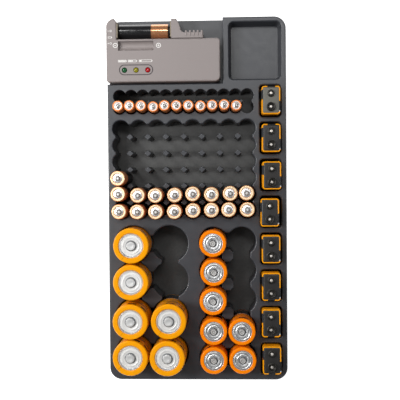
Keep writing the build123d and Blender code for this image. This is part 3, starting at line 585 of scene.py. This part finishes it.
mat_groove_steel = plated("cut_edge", (0.45, 0.46, 0.48), 0.35, lathe=False, scale=1500.0)
NINE = {k: nine_mesh("nine_volt_" + k, mat_nine_top, mat_jacket[k]) for k in mat_jacket}
NINE["first"] = nine_mesh("nine_volt_first", mat_nine_top_pale, mat_jacket["top"])
KINDS = ("first", "top", "plain", "plain", "plain", "low", "low", "low")
for i, (dx, dy) in enumerate(LEAN["nine_volt"]):
    node = "cell_nine_volt_%d" % (i + 1)
    ob = bpy.data.objects.new("v_" + node, NINE[KINDS[i]])
    bpy.context.scene.collection.objects.link(ob)
    ob.matrix_world = leaned(71.1, 94.4 - i * 35.63, FLOOR_Z, dx, dy, 48.5, 0, half=(8.75, 13.25))
    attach(ob, body_of[node])
    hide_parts(node)


# ------------------------------------------------------------- kept CAD nodes
def paint(node, mat):
    ob = NODES[node]
    ob.data.materials.clear()
    ob.data.materials.append(mat)


def lamp_material(name, colour):
    g = Graph(name)
    n = g.noise(900.0, 2.0)
    col = g.ramp(n, [(0.3, shade(colour, 0.8)), (0.7, colour)])
    return g.set(base=col, rough=g.rng(n, 0.3, 0.7, 0.1, 0.2), trans=0.25, ior=1.5, coat=0.6, coat_rough=0.05,
                 normal=g.bump(n, 0.04, 0.02 * MM))


paint("tray", mat_tray)
paint("tester_front_shell", mat_taupe)
paint("tester_rear_shell", mat_taupe)
paint("tester_sliding_arm", mat_taupe)
paint("tester_fixed_contact", mat_strip)
paint("tester_slider_contact", mat_strip)
paint("tester_nine_volt_pads", mat_nickel)
paint("tester_spring", mat_zinc)
paint("tester_screws", mat_zinc)
paint("tester_circuit_board", moulded("board_green", lin(28, 92, 52), 0.4, 0.15))
paint("tester_lamp_green", lamp_material("lens_green", lin(0, 100, 52)))
paint("tester_lamp_yellow", lamp_material("lens_yellow", lin(168, 160, 20)))
paint("tester_lamp_red", lamp_material("lens_red", lin(200, 0, 22)))


# ------------------------------------------------------------ printed marks
def plate(bm, pts, z0, z1):
    lo = [bm.verts.new((x * MM, y * MM, z0 * MM)) for x, y in pts]
    hi = [bm.verts.new((x * MM, y * MM, z1 * MM)) for x, y in pts]
    n = len(pts)
    bm.faces.new(lo[::-1])
    bm.faces.new(hi)
    for k in range(n):
        bm.faces.new((lo[k], lo[(k + 1) % n], hi[(k + 1) % n], hi[k]))


def bar(bm, x0, x1, y0, y1, r=0.12, z=(41.49, 41.54)):
    pts = [(x + (x0 + x1) / 2, y + (y0 + y1) / 2) for x, y in rr_loop(x1 - x0, y1 - y0, min(r, (x1 - x0) / 2.1, (y1 - y0) / 2.1), 3)]
    plate(bm, pts, *z)


def annulus(bm, cx, cy, ri, ro, n=40, z=(41.49, 41.54)):
    rows = []
    for rad, zz in ((ri, z[0]), (ro, z[0]), (ro, z[1]), (ri, z[1])):
        rows.append([bm.verts.new(((cx + rad * math.cos(TAU * k / n)) * MM, (cy + rad * math.sin(TAU * k / n)) * MM, zz * MM)) for k in range(n)])
    for a, b in zip(rows, rows[1:] + rows[:1]):
        for k in range(n):
            bm.faces.new((a[k], a[(k + 1) % n], b[(k + 1) % n], b[k]))


def printed(name, draw, mat=mat_print):
    bm = bmesh.new()
    draw(bm)
    ob = finish_mesh(name, bm, [mat], "battery_tester", angle=20)
    return ob


def pole(cx, cy, plus):
    def draw(bm):
        annulus(bm, cx, cy, 1.75, 2.35)
        bar(bm, cx - 1.05, cx + 1.05, cy - 0.26, cy + 0.26)
        if plus:
            bar(bm, cx - 0.26, cx + 0.26, cy + 0.3, cy + 1.05)
            bar(bm, cx - 0.26, cx + 0.26, cy - 1.05, cy - 0.3)
    return draw


def frame_box(bm, x0, x1, y0, y1, t=0.34):
    bar(bm, x0, x1, y1 - t, y1, 0.08)
    bar(bm, x0, x1, y0, y0 + t, 0.08)
    bar(bm, x0, x0 + t, y0 + t, y1 - t, 0.05)
    bar(bm, x1 - t, x1, y0 + t, y1 - t, 0.05)


def gauge(x0, x1, full):
    """A lying cell with some of its segments filled."""
    def draw(bm):
        y0, y1 = 132.4, 134.6
        frame_box(bm, x0, x1 - 0.7, y0, y1)
        bar(bm, x1 - 0.62, x1, 133.0, 134.0, 0.1)
        n = 5
        w = (x1 - 0.7 - x0 - 0.9) / n
        for k in range(full):
            bar(bm, x0 + 0.45 + k * w + 0.12, x0 + 0.45 + (k + 1) * w - 0.12, y0 + 0.55, y1 - 0.55, 0.05)
    return draw


def small_sign(cx, cy, what):
    def draw(bm):
        if what == "cell":
            frame_box(bm, cx - 1.9, cx + 1.5, cy - 0.9, cy + 0.9)
            bar(bm, cx + 1.55, cx + 2.0, cy - 0.4, cy + 0.4)
            return
        bar(bm, cx - 2.1, cx - 0.7, cy - 0.18, cy + 0.18, 0.06)
        if what == "plus":
            bar(bm, cx - 1.58, cx - 1.22, cy + 0.22, cy + 0.7, 0.06)
            bar(bm, cx - 1.58, cx - 1.22, cy - 0.7, cy - 0.22, 0.06)
        annulus(bm, cx + 0.9, cy, 0.62, 1.0, 28)
    return draw


def stadium(bm, x0, x1, cy, r, w, z):
    """A flat closed band along the middle of the groove round the lamps, laid there as painted shade."""
    loops = []
    for rr, zz in ((r - w, z[0]), (r + w, z[0]), (r + w, z[1]), (r - w, z[1])):
        pts = []
        for cx, a0 in ((x1, -90), (x0, 90)):
            pts += [(cx + rr * math.cos(math.radians(a0 + 180 * k / 14)), cy + rr * math.sin(math.radians(a0 + 180 * k / 14))) for k in range(15)]
        loops.append([bm.verts.new((x * MM, y * MM, zz * MM)) for x, y in pts])
    n = len(loops[0])
    for a, b in zip(loops, loops[1:] + loops[:1]):
        for k in range(n):
            bm.faces.new((a[k], a[(k + 1) % n], b[(k + 1) % n], b[k]))


# dark band at the bottom of the lamp groove: painted shade for the engraved groove
mat_lamp_groove_painted_shade = moulded("groove_painted_shade", lin(76, 69, 72), 0.6, 0.06, grain=2600.0, grain_mm=0.02, strength=0.2)
printed("lamp_groove_painted_shade", lambda bm: stadium(bm, -68.9, -46.1, 125.0, 4.65, 0.4, (40.81, 40.87)), mat_lamp_groove_painted_shade)
printed("mark_minus", pole(-77.4, 148.6, False))
printed("mark_plus", pole(-35.7, 148.1, True))
printed("gauge_full", gauge(-74.8, -66.4, 5))
printed("gauge_half", gauge(-65.2, -56.5, 3))
printed("gauge_empty", gauge(-54.6, -41.6, 1))
printed("sign_minus", small_sign(-82.6, 162.5, "minus"))
printed("sign_cell", small_sign(-82.4, 156.3, "cell"))
printed("sign_plus", small_sign(-82.7, 150.6, "plus"))

# ------------------------------------------------------------------- stage
g = Graph("floor_white")
gn = g.noise(3.0, 2.0)
floor_mat = g.set(base=g.ramp(gn, [(0.3, (0.93, 0.93, 0.93)), (0.7, (0.95, 0.95, 0.95))]), rough=0.85, spec=0.2)
g.bsdf.inputs["Emission Color"].default_value = (1, 1, 1, 1)
g.bsdf.inputs["Emission Strength"].default_value = 0.8
bm = bmesh.new()
bmesh.ops.create_grid(bm, x_segments=8, y_segments=8, size=14.0)
me = bpy.data.meshes.new("floor")
bm.to_mesh(me)
bm.free()
me.materials.append(floor_mat)
floor = bpy.data.objects.new("floor", me)
floor.location.z = -0.0001
bpy.context.scene.collection.objects.link(floor)


def area(name, pos, target, size, power, colour=(1, 1, 1), size_y=None):
    d = bpy.data.lights.new(name, "AREA")
    d.energy = power
    d.color = colour
    d.shape = "RECTANGLE" if size_y else "SQUARE"
    d.size = size
    if size_y:
        d.size_y = size_y
    o = bpy.data.objects.new(name, d)
    bpy.context.scene.collection.objects.link(o)
    o.location = pos
    o.rotation_euler = (Vector(target) - Vector(pos)).to_track_quat("-Z", "Y").to_euler()
    o.visible_camera = False
    return o


area("key", (-0.62, 0.02, 0.72), (0.0, 0.03, 0.03), 0.18, 5.2, size_y=0.30)
area("key_rear", (-0.36, 0.44, 0.84), (0.0, 0.0, 0.03), 0.26, 2.4, size_y=0.22)
area("gloss_rear", (0.12, 0.46, 1.34), (0.0, 0.0, 0.03), 0.56, 3.3, size_y=0.2)
area("gloss_left", (-0.46, -0.02, 1.26), (-0.05, 0.0, 0.03), 0.8, 1.0, size_y=0.1)
area("fill", (0.62, 0.0, 0.62), (0.0, 0.0, 0.03), 0.2, 0.6, size_y=0.2)

world = bpy.data.worlds.new("world")
bpy.context.scene.world = world
world.use_nodes = True
bg = world.node_tree.nodes["Background"]
bg.inputs[0].default_value = (1, 1, 1, 1)
bg.inputs[1].default_value = 0.17

bpy.context.view_layer.update()
